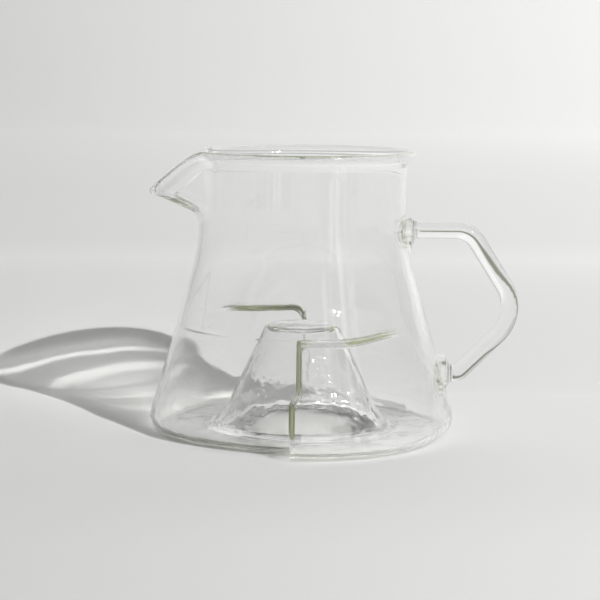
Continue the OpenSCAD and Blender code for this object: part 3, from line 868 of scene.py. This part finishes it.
def window_material(strength, around):
    """A soft glow in upright stripes, fainter towards the window's sides and foot."""
    m, t = fresh_material("window_glow")
    t.tree.nodes.clear()
    place, parts = t.object_place((-900, 0))
    squeezed = t.add("Mapping", (-700, 0), {"Vector": place, "Scale": (1, 1, 0.12)})
    stripes = t.ranged(t.noise(squeezed.outputs[0], 26.0, 1.0, (-500, 0)), 0.42, 0.62, 0.0, strength, (-200, 0))
    sides = t.ranged(t.maths("ABSOLUTE", (-300, -200), parts["X"]), 0.10, 0.18, 1.0, 0.0, (-100, -200))
    foot = t.ranged(parts["Z"], 0.03, 0.16, 0.45, 1.0, (-100, -400))
    total = t.maths("MULTIPLY", (400, 0), t.maths("MULTIPLY", (200, 0), stripes, sides), foot)
    glow = t.add("Emission", (700, 0), {"Strength": t.maths("ADD", (600, 0), total, around)})
    t.add("OutputMaterial", (900, 0), {"Surface": glow.outputs[0]})
    return m


def store_material(obj, m):
    obj.data.materials.clear()
    obj.data.materials.append(m)


# The stage

# The way to the key light, and how wide that light is in degrees
TO_SUN = Vector((0.944, -1.146, 1.0)).normalized()
SUN_WIDTH = 0.8
# The board's half width, how far it lies below the vessel, and how far back and up it goes, in mm
BOARD_HALF, BOARD_GAP, BOARD_FAR, BOARD_HIGH = 3000.0, 0.15, 3000.0, 4000.0
# The run of each of the board's two matching curves up to its second level, the points along a curve, and the
# rise far behind: its start and radius
SWELL_RUN, SWELL_POINTS, RISE_START, RISE_ROUND = 75.0, 12, 1800, 1200
# The window's half width and half height, its distance, its middle's height and its turn in degrees
WINDOW_HALF, WINDOW_AWAY, WINDOW_Z, WINDOW_TURN = (180.0, 170.0), 450, 175, 38
# The camera in mm and degrees, with its lens for a sensor 36 mm wide
CAMERA_PLACE, CAMERA_TILT, CAMERA_ROLL, CAMERA_LENS = (-0.91, -745.4, 150.4), 7.5013, 0.45, 113.28
# How often light may turn in the glass, and how often it may pass straight through it
TURNS, PASSES = 32, 48


def board_profile(settings):
    """Points of the board's section, as y and z in mm: flat, a soft swell, flat again and a rise far behind."""
    start, round_by = settings.swell_y, 2 * settings.swell_round
    points = [(-BOARD_FAR, 0.0), (start - 60, 0.0)]
    for i in range(SWELL_POINTS + 1):
        u = SWELL_RUN * i / SWELL_POINTS
        points.append((start + u, u * u / round_by))
    top = 2 * points[-1][1]
    for i in range(1, SWELL_POINTS + 1):
        u = SWELL_RUN * (1 - i / SWELL_POINTS)
        points.append((start + 2 * SWELL_RUN - u, top - u * u / round_by))
    points.append((RISE_START - 100.0, top))
    for i in range(25):
        turn = math.pi / 2 * i / 24
        points.append((RISE_START + RISE_ROUND * math.sin(turn), top + RISE_ROUND * (1 - math.cos(turn))))
    return points + [(BOARD_FAR, BOARD_HIGH)]


def make_board(settings):
    bm = bmesh.new()
    chain = [bm.verts.new((-BOARD_HALF, y, z - BOARD_GAP)) for y, z in board_profile(settings)]
    edges = [bm.edges.new(pair) for pair in zip(chain, chain[1:])]
    draw_out(bm, edges, (2 * BOARD_HALF, 0, 0))
    floor = finished(bm, "table_and_backdrop", body=None)
    if floor.data.polygons[0].normal.z < 0:
        floor.data.flip_normals()
    floor.data.materials.append(table_material(settings))


def make_sun(scene, strength):
    """The key light. Bent light doesn't look for it: what gets through the glass is said by the glass's own share."""
    sun = bpy.data.objects.new("key_light", bpy.data.lights.new("key_light", "SUN"))
    sun.data.energy = strength
    sun.data.angle = math.radians(SUN_WIDTH)
    sun.visible_transmission = False
    sun.rotation_euler = (-TO_SUN).to_track_quat("-Z", "Y").to_euler()
    scene.collection.objects.link(sun)


def light_world(scene, sky, glass_sky):
    """Even light from all round; what the glass mirrors and bends is brighter, as the pale room is."""
    world = bpy.data.worlds.new("studio")
    scene.world = world
    world.use_nodes = True
    t = Nodes(world.node_tree)
    path = t.add("LightPath", (-600, 0)).outputs
    seen = t.maths("MAXIMUM", (-400, 0), path["Is Glossy Ray"], path["Is Transmission Ray"])
    first = t.maths("LESS_THAN", (-400, -200), path["Diffuse Depth"], 0.5)
    both = t.maths("MULTIPLY", (-300, -100), seen, first)
    shine = world.node_tree.nodes["Background"]
    shine.inputs["Color"].default_value = (1, 1, 1, 1)
    t.join(t.ranged(both, 0.0, 1.0, sky, glass_sky, (-200, 0)), shine.inputs["Strength"])


def make_window(settings):
    """A tall window to the right of the viewer, which only the glass mirrors."""
    bm = bmesh.new()
    bmesh.ops.create_grid(bm, x_segments=1, y_segments=1, size=1.0)
    bmesh.ops.scale(bm, vec=(*WINDOW_HALF, 1), verts=bm.verts)
    bmesh.ops.rotate(bm, verts=bm.verts, cent=(0, 0, 0), matrix=Matrix.Rotation(math.radians(90), 3, "X"))
    bmesh.ops.translate(bm, verts=bm.verts, vec=(0, -WINDOW_AWAY, WINDOW_Z))
    window = finished(bm, "window", body=None)
    window.rotation_euler.z = math.radians(WINDOW_TURN)
    window.data.materials.append(window_material(settings.window, settings.glass_sky))
    for ray in ("camera", "diffuse", "shadow", "volume_scatter"):
        setattr(window, "visible_" + ray, False)


def make_camera(scene):
    cam = bpy.data.objects.new("camera", bpy.data.cameras.new("camera"))
    cam.data.sensor_width = 36.0
    cam.data.lens = CAMERA_LENS
    cam.data.clip_start, cam.data.clip_end = 0.01, 50
    cam.location = [part * MM for part in CAMERA_PLACE]
    tilt = Matrix.Rotation(math.radians(90 - CAMERA_TILT), 4, "X")
    cam.rotation_euler = (tilt @ Matrix.Rotation(math.radians(CAMERA_ROLL), 4, "Z")).to_euler()
    scene.collection.objects.link(cam)
    scene.camera = cam


# Operators


def stand_for(obj, m, nodes):
    """The piece takes the place of its CAD nodes, and both get the same glass."""
    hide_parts(*nodes)
    for each in (obj, *(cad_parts[name] for name in nodes)):
        store_material(each, m)


class SERVER_OT_vessel(bpy.types.Operator):
    """Make the blown vessel with its lip, spout, steps and cone"""

    bl_idname = "server.vessel"
    bl_label = "Vessel"

    def execute(self, context):
        scene = context.scene
        feet = handle_feet(Form(scene.server_vessel))
        m = glass_material("vessel_glass", scene.server_glass, VESSEL_FINISH, SHADOW_RINGS, feet)
        stand_for(make_vessel(scene.server_vessel), m, VESSEL_NODES)
        return {"FINISHED"}


class SERVER_OT_handle(bpy.types.Operator):
    """Make the bent rod handle with its two pads"""

    bl_idname = "server.handle"
    bl_label = "Handle"

    def execute(self, context):
        scene = context.scene
        m = glass_material("rod_glass", scene.server_glass, ROD_FINISH, ROD_RINGS)
        stand_for(make_handle(scene.server_vessel, scene.server_handle), m, HANDLE_NODES)
        return {"FINISHED"}


class SERVER_OT_stage(bpy.types.Operator):
    """Make the table, the light and the camera"""

    bl_idname = "server.stage"
    bl_label = "Stage"

    def execute(self, context):
        scene = context.scene
        settings = scene.server_stage
        make_board(settings)
        make_sun(scene, settings.sun)
        light_world(scene, settings.sky, settings.glass_sky)
        make_window(settings)
        make_camera(scene)
        scene.view_settings.view_transform = "Standard"
        scene.cycles.max_bounces = scene.cycles.transmission_bounces = scene.cycles.glossy_bounces = TURNS
        scene.cycles.transparent_max_bounces = PASSES
        scene.cycles.caustics_reflective = False
        return {"FINISHED"}


class SERVER_PT_panel(bpy.types.Panel):
    """The operators that make the server, in order"""

    bl_label = "Glass Coffee Server"
    bl_space_type = "VIEW_3D"
    bl_region_type = "UI"
    bl_category = "Server"

    def draw(self, context):
        for op in OPERATORS:
            self.layout.operator(op.bl_idname)


OPERATORS = (SERVER_OT_vessel, SERVER_OT_handle, SERVER_OT_stage)
GROUPS = {"server_vessel": VesselSettings, "server_handle": HandleSettings,
          "server_glass": GlassSettings, "server_stage": StageSettings}


def register():
    for c in (*GROUPS.values(), *OPERATORS, SERVER_PT_panel):
        bpy.utils.register_class(c)
    for name, group in GROUPS.items():
        setattr(bpy.types.Scene, name, bpy.props.PointerProperty(type=group))


def unregister():
    for name in GROUPS:
        delattr(bpy.types.Scene, name)
    for c in (SERVER_PT_panel, *OPERATORS[::-1], *list(GROUPS.values())[::-1]):
        bpy.utils.unregister_class(c)


def main():
    register()
    bpy.ops.server.vessel()
    bpy.ops.server.handle()
    bpy.ops.server.stage()


if __name__ == "__main__":
    main()
